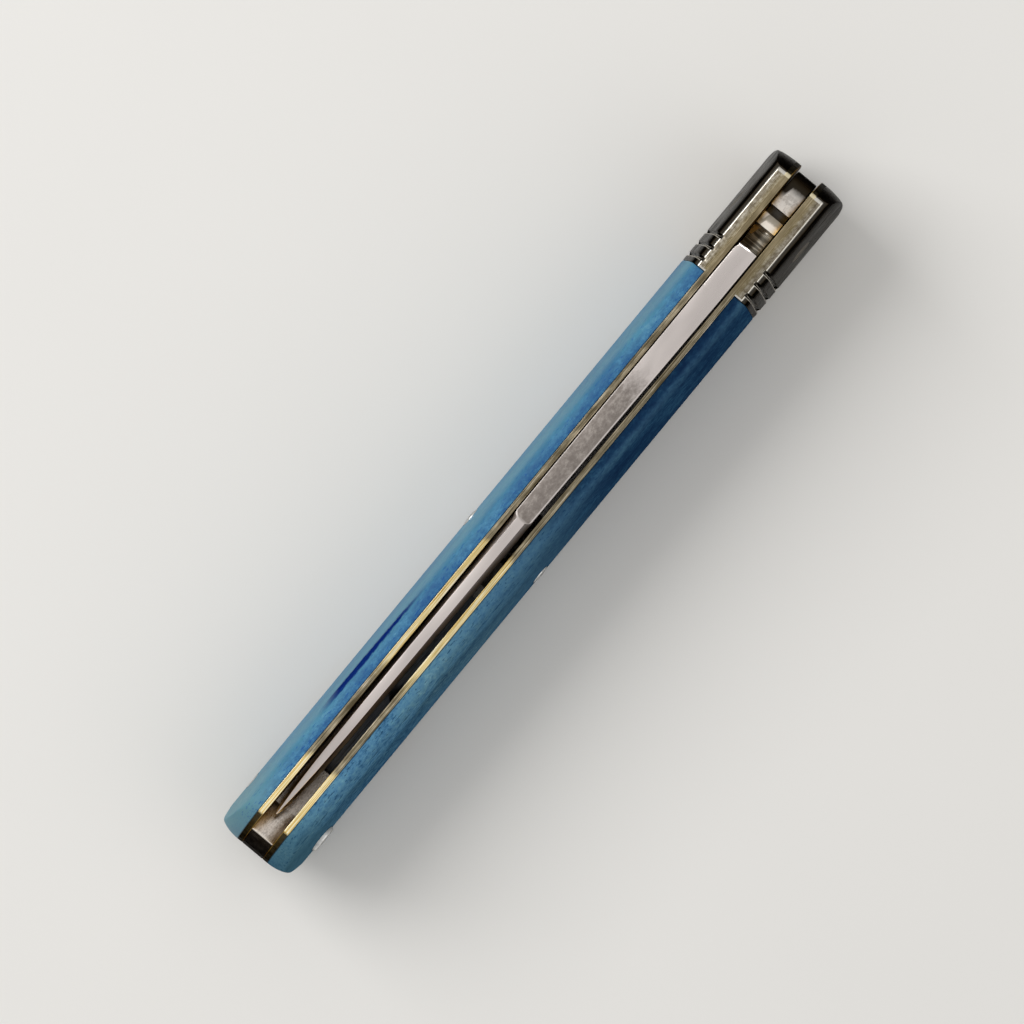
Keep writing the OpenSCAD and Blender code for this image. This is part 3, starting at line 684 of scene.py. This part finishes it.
def back_rise(t):
    """Rise of the section from the back."""
    return WIDEST * quarter(t, 2.2)


def end_in(z, back_r, slope_l):
    """How far the side outline lies in from an end at height z: back corner and slope."""
    full = 1.35
    u = max(0, 1 - (HANDLE_H - z) / SLOPE_H)
    slope = slope_l * (1 - (1 - u**full) ** (1 / full))
    return back_r - math.sqrt(back_r**2 - max(0, back_r - z) ** 2) + slope


def end_line(low, top, face, inward, soft, steps=30):
    """Points up an end between two heights, both corners rounded. face gives x at a height."""
    soft = min(soft, 0.3 * (top - low))
    points = bend((face(low) + inward * soft, low), (face(low), low), (face(low + soft), low + soft), 4)
    width = (top - low) / HANDLE_H
    for i in range(1, steps):
        u = i / steps
        share = width * (1 - math.cos(math.pi * u)) / 2 + (1 - width) * u
        z = low + soft + (top - low - 2 * soft) * share
        points.append((face(z), z))
    points += bend((face(top - soft), top - soft), (face(top), top), (face(top) + inward * soft, top), 4)
    return points


def joint_back(t, radius):
    """How far a cover's joint face draws back at share t, to round its outer edge."""
    over = (t * COVER_T - (SECTION_SHARE * COVER_T - radius)) / radius
    return radius * (1 - math.sqrt(1 - min(1, max(0, over)) ** 2))


def thumb_notch(x, z):
    """Height z raised to the thumb notch's floor, with the notch's rim rounded."""
    middle, depth, wheel, rim, below = BUTT_X + 21, 2.2, 12, 0.3, -10
    across = wheel**2 - (x - middle) ** 2
    floor = depth - wheel + math.sqrt(across) if across > 0 else below
    share = min(1, max(0, 0.5 + 0.5 * (z - floor) / rim))
    return floor + (z - floor) * share + rim * share * (1 - share)


def scale_ring(t, radius, bone_round):
    """Side outline of a scale at share t of its thickness, from the joint over the slot's edge."""
    low, top = back_rise(t), HANDLE_H - slot_fall(t)
    end = SCALE_END - joint_back(t, radius)
    least = 0.05
    soft = least + (bone_round - least) * ease(t / 0.4)

    def butt(z):
        return BUTT_X + 1.5 * quarter(t, 2) + end_in(z, back_r=8, slope_l=4.8)

    edge = end_line(low, top, butt, 1, soft)
    ring = arc(end - radius, top - radius, radius, radius, 0, 4)
    ring += [(x, top) for x in spread(end - radius, edge[-1][0], 50)]
    ring += list(reversed(edge))
    ring += [(x, low) for x in spread(edge[0][0], end - radius, 120)]
    ring += arc(end - radius, low + radius, radius, radius, 270, 4)
    return [(x, thumb_notch(x, z)) for x, z in ring]


def bolster_fall(t):
    """Fall of a bolster's outline: a flat strip with a rubbed edge, then the covers' section."""
    rim_w, rim_fall, joined = 0.06, 0.04, 0.6
    past = t - STRIP
    edge = min(1, max(0, 0.5 + past * COVER_T / rim_w / 2)) * rim_fall
    if past <= 0:
        return edge
    return slot_fall(t) - slot_fall(STRIP) * (1 - ease(past / (joined - STRIP))) + edge


def bolster_ring(t, sizes):
    """Outline of a bolster at share t, as (x, y, z) with its grooves cut in."""
    radius, nose_round, groove_w, groove_depth = sizes
    low, top = back_rise(t), HANDLE_H - bolster_fall(t)
    rear = JOINT_X + joint_back(t, radius)

    def nose(z):
        return NOSE_X - 0.8 * quarter(t, 2) - end_in(z, back_r=7, slope_l=2.34)

    edge = end_line(low, top, nose, -1, nose_round if t > 0 else 0.1)
    grooves = [JOINT_X + GROOVE_AT + GROOVE_PITCH * i for i in range(3)]
    along = [g + groove_w * i / 16 for g in grooves for i in range(-10, 11, 2)]
    over = along + spread(along[-1], edge[-1][0], 24)
    under = along + spread(along[-1], edge[0][0], 14)

    def cut_at(x):
        return max([0] + [groove_depth * (1 - (2 * (x - g) / groove_w) ** 2) for g in grooves])

    inward = min(1, (t / STRIP) ** 12)
    ring = edge
    ring += [(x, top - cut_at(x) * inward) for x in reversed(over)]
    ring += arc(rear + radius, top - radius, radius, radius, 90, 4)
    ring += arc(rear + radius, low + radius, radius, radius, 180, 4)
    ring += [(x, low + cut_at(x) * inward) for x in under]
    return [(x, LINER_OUT + t * (COVER_T - cut_at(x)), z) for x, z in ring]


class KNIFE_OT_scales(Operator):
    """Builds the two dyed bone scales."""

    bl_idname = "knife.scales"
    bl_label = "Bone scales"

    def execute(self, context):
        sizes = context.scene.knife_sizes
        shares = [0, 0.1, 0.2, 0.28] + [0.34 + 0.02 * i for i in range(20)] + OUTER
        for side, sign in (("left", 1), ("right", -1)):
            rings = []
            for t in shares:
                ring = scale_ring(t, sizes.joint_round / MM, sizes.bone_round / MM)
                rings.append([(x, sign * (LINER_OUT + t * COVER_T), z) for x, z in ring])
            finish = dyed_bone(side + "_dyed_bone", side == "left")
            made = add_loft(side + "_bone_scale", rings, finish, angle=40)
            finish_piece(made, "handle", "dyed_bone", side + "_scale")
        return {"FINISHED"}


class KNIFE_OT_bolsters(Operator):
    """Builds the two grooved bolsters and finishes the rivets behind them."""

    bl_idname = "knife.bolsters"
    bl_label = "Grooved bolsters"

    def execute(self, context):
        group = context.scene.knife_sizes
        sizes = [v / MM for v in (group.joint_round, group.nose_round, group.groove_w, group.groove_depth)]
        finish = nickel_silver("buffed_nickel_silver")
        shares = [0, STRIP * 0.4, STRIP * 0.7, STRIP * 0.85, STRIP * 0.95]
        shares += [STRIP + 0.02 * i / COVER_T for i in range(-3, 4)]
        shares += [STRIP + 0.12 / COVER_T] + [0.38 + 0.02 * i for i in range(18)] + OUTER
        for side, sign in (("left", 1), ("right", -1)):
            rings = [[(x, sign * y, z) for x, y, z in bolster_ring(t, sizes)] for t in shares]
            made = add_loft(side + "_grooved_bolster", rings, finish, angle=35)
            finish_piece(made, "handle", "nickel_silver", side + "_bolster")
            for rivet in ("_bolster_rivet_front", "_bolster_rivet_rear"):
                soften(side + rivet, 0.05 * MM, finish)
        return {"FINISHED"}


# Blade


BEVEL_STEPS = 8
SWEDGE_STEPS = 4
# How far the swedge falls to the tip, and the lengths of the belly and of the wheels' run-in
TIP_DROP = 5.3
BELLY_L = 30
PLUNGE_L = 3.5
RUN_IN_L = 1.6


def blade_half(x, edge_round, hollow):
    """Half of the blade's section at x, from the spine's middle down to the edge."""
    swedge_flat, swedge_h, hone_h, hone_t, edge_t = 1.25, 3, 0.8, 0.36, 0.06
    past = max(0, SWEDGE_X - x)
    zs = SPINE_Z - TIP_DROP * (past / SWEDGE_L) ** 1.2
    rise = max(0, TIP_X + BELLY_L - x) / BELLY_L
    ze = EDGE_Z + (SPINE_Z - TIP_DROP - EDGE_Z) * rise**2.3
    h = zs - ze
    t = (BLADE_T - TAPER * max(0, RICASSO_X - x)) * min(1, (h / 5) ** 0.6)
    cut = 1 - math.sqrt(1 - min(1, past / 0.7) ** 2)
    flat = swedge_flat * (1 - math.exp((TIP_X - x - 0.3) / 6))
    f = t * (1 - cut) + min(t * 0.96, flat) * cut
    ground = run_in(past / RUN_IN_L)
    low = zs - min(0.3 * h, 0.22 + swedge_h * ground)
    reach = math.hypot((t - f) / 2, zs - low)
    toward = ((t - f) / 2 / reach, (low - zs) / reach)
    c = min(edge_round * (1 - 0.6 * cut), f * 0.3, reach * 0.4)
    half = bend((f / 2 - c, zs), (f / 2, zs), (f / 2 + c * toward[0], zs + c * toward[1]), 3)
    # The wheel leaves the swedge's bevel a little hollow
    for i in range(1, SWEDGE_STEPS + 1):
        u = i / SWEDGE_STEPS
        dip = 0.14 * ground * t / BLADE_T * math.sin(math.pi * u)
        y, z = half[3]
        half.append((y + (t / 2 - y) * u + dip * toward[1], z + (low - z) * u - dip * toward[0]))
    top = ze + h * 0.64
    hone = ze + min(hone_h, h / 5)
    thin = min(hone_t, t * 0.9)
    for i in range(BEVEL_STEPS + 1):
        u = i / BEVEL_STEPS
        g = ease((RICASSO_X - x - RUN_IN_L * (1 - u) ** 2) / PLUNGE_L)
        bevel = t + (thin - t) * u - 2 * hollow * t / BLADE_T * math.sin(math.pi * u)
        half.append((max(0.03, (t + (bevel - t) * g) / 2), top + (hone - top) * u))
    g = ease((RICASSO_X - x) / PLUNGE_L)
    edge = t + (thin - t) * g
    half.append(((edge + (edge_t - edge) * g) / 2, ze))
    return half


def tang_outline():
    """Side profile of the tang in x and z: ledge, hump, notch, running round, flat and kick."""
    px, pz, r = PIVOT_X, PIVOT_Z, 7.4
    ride_gap, tooth_gap = 0.08, 0.06
    notch_at, notch_w, notch_depth = 0.82, 1.14, 2.4
    hump_l, hump_h, hump_slope = 1.66, 0.7, 0.3
    kick_ramp, kick_l, kick_fall, kick_h = 2, 3.4, 1, 1.3
    # The bar drops 1.05 degrees from where it rides
    slope = math.sin(math.radians(1.05))

    def drop_at(x):
        return (x - ROCKER_X) * slope

    def ride(dx):
        return pz - math.sqrt((r + ride_gap) ** 2 - dx * dx)

    notch_front, notch_back = px - notch_at, px - notch_at - notch_w
    nose_back = px + hump_l - notch_at + hump_slope + tooth_gap
    nose_end = px + SHOULDER_BACK - ride_gap - ROCKER_Z * slope
    ledge = pz - ride(nose_back - px) - drop_at(nose_end) - ride_gap
    hump = ledge + hump_h
    notch = hump - notch_depth
    flat = pz - ride(notch_back + tooth_gap - px) - drop_at(notch_front - tooth_gap) - ride_gap
    spine, low = SPINE_Z - pz, EDGE_Z - pz
    hump_x = notch_at - hump_l
    heel = -math.sqrt(r * r - flat * flat) - 0.3
    kick = low - kick_h
    slant = (kick + r) / kick_ramp
    start, stop, steps = math.acos((notch_at + notch_w) / r), -math.asin(flat / r), 40
    points = [(RICASSO_X - px, spine)]
    points += [(-SHOULDER_BACK - 0.25 * i, spine) for i in range(6, -1, -1)]
    points += [(-SHOULDER_BACK, ledge), (hump_x - hump_slope, ledge), (hump_x, hump)]
    points += [(notch_at, hump), (notch_at, notch), (notch_at + notch_w, notch)]
    for i in range(steps + 1):
        a = start + (stop - start) * i / steps
        points.append((r * math.cos(a), r * math.sin(a)))
    points += [(heel - (r - flat) / slant, -flat), (heel - kick_ramp, kick), (heel - kick_l, kick)]
    points += [(heel - kick_l - kick_fall, low), (RICASSO_X - px, low)]
    return [(px + x, pz + z) for x, z in points]


def add_tang(edge_round, finish):
    """The tang as a plate whose rims are broken, apart from where the blade goes on."""
    work = bmesh.new()
    front = [work.verts.new(Vector((x, -BLADE_T / 2, z)) * MM) for x, z in tang_outline()]
    face = work.faces.new(front)
    grown = bmesh.ops.extrude_face_region(work, geom=[face])
    moved = [g for g in grown["geom"] if isinstance(g, bmesh.types.BMVert)]
    bmesh.ops.translate(work, verts=moved, vec=(0, BLADE_T * MM, 0))
    bmesh.ops.recalc_face_normals(work, faces=work.faces)
    rims = []
    for edge in work.edges:
        a, b = (v.co / MM for v in edge.verts)
        at_seam = abs(a.x - RICASSO_X) < 1e-3 and abs(b.x - RICASSO_X) < 1e-3
        if abs(a.y - b.y) < 1e-3 and not at_seam:
            rims.append(edge)
    bmesh.ops.bevel(work, geom=rims, offset=edge_round * MM, segments=3, profile=0.5, affect="EDGES",
                    clamp_overlap=True)
    # The shoulder's left corner is rounded in plan, as the belt took it
    corner_l, corner_w = 1.3, 0.3
    for vert in work.verts:
        past = (vert.co.x / MM - SHOULDER_X + corner_l) / corner_l
        if 0 < past <= 1 and vert.co.y > 0 and vert.co.z / MM > SPINE_Z - 5:
            vert.co.y -= corner_w * past**2 * MM
    break_smooth(work, 25)
    mesh = bpy.data.meshes.new("tang")
    work.to_mesh(mesh)
    work.free()
    mesh.materials.append(finish)
    return link_object("tang", mesh)


def cut_away(made, cutter):
    """Cuts one piece's form out of another and keeps the result as plain mesh."""
    boolean = made.modifiers.new("cut", "BOOLEAN")
    boolean.object = cutter
    boolean.operation = "DIFFERENCE"
    boolean.solver = "EXACT"
    ready = made.evaluated_get(bpy.context.evaluated_depsgraph_get())
    mesh = bpy.data.meshes.new_from_object(ready)
    made.modifiers.clear()
    made.data = mesh
    bpy.data.objects.remove(cutter)
    work = bmesh.new()
    work.from_mesh(mesh)
    break_smooth(work, 25)
    work.to_mesh(mesh)
    work.free()


def add_nick_wheel(finish):
    """The wheel that cuts the nail nick into the left face."""
    wheel, width, depth, steps = 26, 1.7, 0.5, 192
    points = []
    for side in (-1, 1):
        for i in range(steps):
            a = 2 * math.pi * i / steps
            points.append((wheel * math.cos(a), wheel * math.sin(a), side * width / 2))
    faces = [tuple(reversed(range(steps))), tuple(range(steps, 2 * steps))]
    faces += [(i, (i + 1) % steps, steps + (i + 1) % steps, steps + i) for i in range(steps)]
    tilt = Matrix.Rotation(math.radians(24), 3, "X")
    centre = Vector((SHOULDER_X - 32, BLADE_T / 2 + wheel - depth, HANDLE_H))
    return add_object("nick_wheel", [centre + tilt @ Vector(p) for p in points], faces, finish)


class KNIFE_OT_blade(Operator):
    """Builds the ground blade with its swedge, nail nick and tang."""

    bl_idname = "knife.blade"
    bl_label = "Ground blade"

    def execute(self, context):
        sizes = context.scene.knife_sizes
        finish = satin_blade_steel("satin_blade_steel")
        edge_round = sizes.edge_round / MM
        # Sections lie closer at the plunge, at the swedge's start and near the tip
        near_tip = 3
        stations = [RICASSO_X - 0.25 * i for i in range(24)]
        stations += spread(stations[-1], SWEDGE_X, 40)
        stations += [SWEDGE_X - RUN_IN_L * (i / 20) ** 2 for i in range(21)]
        stations += spread(stations[-1], TIP_X + near_tip, 70)
        stations += [TIP_X + near_tip * (1 - i / 14) ** 1.5 for i in range(14)] + [TIP_X + 0.02]
        rings = []
        for x in stations:
            half = blade_half(x, edge_round, sizes.hollow / MM)
            middle = TAPER * max(0, RICASSO_X - x) / 2
            left = [(x, middle + y, z) for y, z in half]
            right = [(x, middle - y, z) for y, z in reversed(half)]
            rings.append(left + right)
        n = len(rings[0])
        # Grind lines stay crisp: the swedge's foot, the bevel's top, the hone's top and the edge
        crisp = [3 + SWEDGE_STEPS, 4 + SWEDGE_STEPS, n // 2 - 2, n // 2 - 1]
        crisp += [n - 1 - j for j in crisp]
        rows = [(k * n + j, (k + 1) * n + j) for k in range(len(rings) - 1) for j in crisp]
        made = add_loft("ground_blade", rings, finish, rows, angle=35)
        cut_away(made, add_nick_wheel(finish))
        tang = add_tang(edge_round, finish)
        with context.temp_override(active_object=made, selected_editable_objects=[made, tang]):
            bpy.ops.object.join()
        finish_piece(made, "blade_body", "blade_steel", "blade")
        return {"FINISHED"}


class KNIFE_OT_liners(Operator):
    """Finishes the brass liners and the washers beside the tang."""

    bl_idname = "knife.liners"
    bl_label = "Brass liners"

    def execute(self, context):
        width = context.scene.knife_sizes.brass_round
        brass = ground_brass("ground_brass")
        bronze = spring_steel("phosphor_bronze", "#6E5430", "#B5894F", 0.34)
        for side in ("left", "right"):
            soften(side + "_liner", width, brass)
            soften(side + "_washer", 0.03 * MM, bronze)
        return {"FINISHED"}


class KNIFE_OT_lock(Operator):
    """Finishes the lock bar, its leaf spring and the rear block."""

    bl_idname = "knife.lock"
    bl_label = "Lock bar, leaf and block"

    def execute(self, context):
        width = context.scene.knife_sizes.edge_round
        soften("lock_bar", width, spring_steel("ground_spring_steel", "#6B6863", "#B4B0AB", 0.32))
        soften("lock_spring", 0.06 * MM, spring_steel("blued_leaf_steel", "#3F434A", "#777C82", 0.34))
        soften("rear_block", width, spring_steel("milled_block_steel", "#A89D90", "#F2E9E0", 0.3))
        return {"FINISHED"}


ROUND = [(math.cos(math.radians(a)), math.sin(math.radians(a))) for a in range(0, 360, 6)]


def rear_pin_rings():
    """Rings of the rear pin, ground to the flank's slope on the left, with its head on the right."""
    low, high = ends("rear_pin", "y")
    level, seat, lean = high - 0.2, low + HEAD_T, 0.08
    outline = [(REAR_R - 0.4, level), (REAR_R - 0.1, level - 0.01), (REAR_R - 0.02, level - 0.05)]
    outline += [(REAR_R, level - 0.15), (REAR_R, seat), (HEAD_R, seat), (HEAD_R, low + HEAD_T / 2)]
    outline += bend(outline[-1], (HEAD_R, low + 0.04), (HEAD_R - 0.45, low + 0.03), 6)[1:]
    outline += [(REAR_R - 0.4, low)]
    rings = []
    for r, y in outline:
        tilt = lean * r if y > 0 else 0
        rings.append([(REAR_X + r * c, y - tilt * s, REAR_Z + r * s) for c, s in ROUND])
    return rings


class KNIFE_OT_pins(Operator):
    """Finishes the pivot, rocker and rear pins."""

    bl_idname = "knife.pins"
    bl_label = "Pins"

    def execute(self, context):
        steel = polished_pin("polished_pin_steel", "#E2E1DE", (0.6, 0.6, 0.6))
        nickel = polished_pin("buffed_pivot_pin", "#B9B3AA", DARK_GRAZING_TINT)
        soften("pivot_pin", 0.03 * MM, nickel)
        soften("rocker_pin", 0.02 * MM, steel, angle=60)
        made = add_loft("rear_pin_with_head", rear_pin_rings(), steel)
        finish_piece(made, "handle", "pin_steel", "rear_pin")
        return {"FINISHED"}


# Stage


def add_lamp(name, place_m, toward_m, size_m, watts):
    """A soft square lamp aimed at a point."""
    lamp = bpy.data.lights.new(name, "AREA")
    lamp.size = size_m
    lamp.energy = watts
    made = link_object(name, lamp)
    made.location = place_m
    aim = Vector(toward_m) - Vector(place_m)
    made.rotation_mode = "QUATERNION"
    made.rotation_quaternion = aim.to_track_quat("-Z", "Y")


def add_camera():
    """Camera almost straight above the slot, a metre off, leaning 1.2 degrees to the right side."""
    middle = Vector((-1.52, 1.7, HANDLE_H)) * MM
    distance, lean, turn = 1.0, math.radians(1.2), math.radians(50.4)
    pixels, pixel_mm, sensor_mm = 1024, 0.12, 36
    back = Vector((0, -math.sin(lean), math.cos(lean)))
    along = Vector((1, 0, 0))
    across = back.cross(along)
    right = math.cos(turn) * along - math.sin(turn) * across
    up = back.cross(right)
    lens = bpy.data.cameras.new("camera")
    lens.sensor_width = sensor_mm
    lens.lens = sensor_mm * distance / (pixels * pixel_mm * MM)
    lens.clip_start = 0.01
    made = link_object("camera", lens)
    made.matrix_world = Matrix.Translation(middle + back * distance) @ Matrix(
        (right, up, back)
    ).transposed().to_4x4()
    bpy.context.scene.camera = made


class KNIFE_OT_stage(Operator):
    """Adds the floor, the lamps, the sky and the camera."""

    bl_idname = "knife.stage"
    bl_label = "Stage and camera"

    def execute(self, context):
        size = 2000
        corners = [(-size, -size, 0), (size, -size, 0), (size, size, 0), (-size, size, 0)]
        floor = add_object("floor", corners, [(0, 1, 2, 3)], pale_floor("matt_painted_board"))
        add_lamp("key_lamp", (-0.1, 0.55, 0.55), (0, 0, 0.01), 0.5, 4.0)
        add_lamp("fill_lamp", (0.2, -0.6, 0.6), (0, 0, 0.01), 0.7, 1.2)
        world = bpy.data.worlds.new("studio_sky")
        world.use_nodes = True
        context.scene.world = world
        world.node_tree.nodes.clear()
        node = functools.partial(add_node, world.node_tree)
        up = node("SeparateXYZ", node("TexCoord").outputs["Generated"]).outputs["Z"]
        sky = node("ValToRGB", up, stops=[(0, (0.62,) * 3), (0.5, (0.7,) * 3), (0.9, (0.9,) * 3)])
        node("OutputWorld", node("Background", sky, 0.8))
        add_camera()
        context.scene.view_settings.view_transform = "Standard"
        return {"FINISHED"}


STEPS = (
    KNIFE_OT_stage,
    KNIFE_OT_scales,
    KNIFE_OT_bolsters,
    KNIFE_OT_blade,
    KNIFE_OT_liners,
    KNIFE_OT_lock,
    KNIFE_OT_pins,
)


class KNIFE_PT_sidebar(Panel):
    """Lists the knife's sizes, colours and building steps."""

    bl_idname = "KNIFE_PT_sidebar"
    bl_label = "Lockback knife"
    bl_space_type = "VIEW_3D"
    bl_region_type = "UI"
    bl_category = "Knife"

    def draw(self, context):
        for group in (context.scene.knife_sizes, context.scene.knife_colours):
            for name in group.bl_rna.properties.keys():
                if name not in ("rna_type", "name"):
                    self.layout.prop(group, name)
        for step in STEPS:
            self.layout.operator(step.bl_idname)


CLASSES = (KnifeSizes, KnifeColours, *STEPS, KNIFE_PT_sidebar)


def register():
    """Registers the classes and hangs the property groups on the scene."""
    for cls in CLASSES:
        bpy.utils.register_class(cls)
    bpy.types.Scene.knife_sizes = PointerProperty(type=KnifeSizes)
    bpy.types.Scene.knife_colours = PointerProperty(type=KnifeColours)


def unregister():
    """Takes the property groups and the classes away again."""
    del bpy.types.Scene.knife_colours
    del bpy.types.Scene.knife_sizes
    for cls in reversed(CLASSES):
        bpy.utils.unregister_class(cls)


def main():
    register()
    bpy.ops.knife.stage()
    bpy.ops.knife.scales()
    bpy.ops.knife.bolsters()
    bpy.ops.knife.blade()
    bpy.ops.knife.liners()
    bpy.ops.knife.lock()
    bpy.ops.knife.pins()
    bpy.context.view_layer.update()


if __name__ == "__main__":
    main()
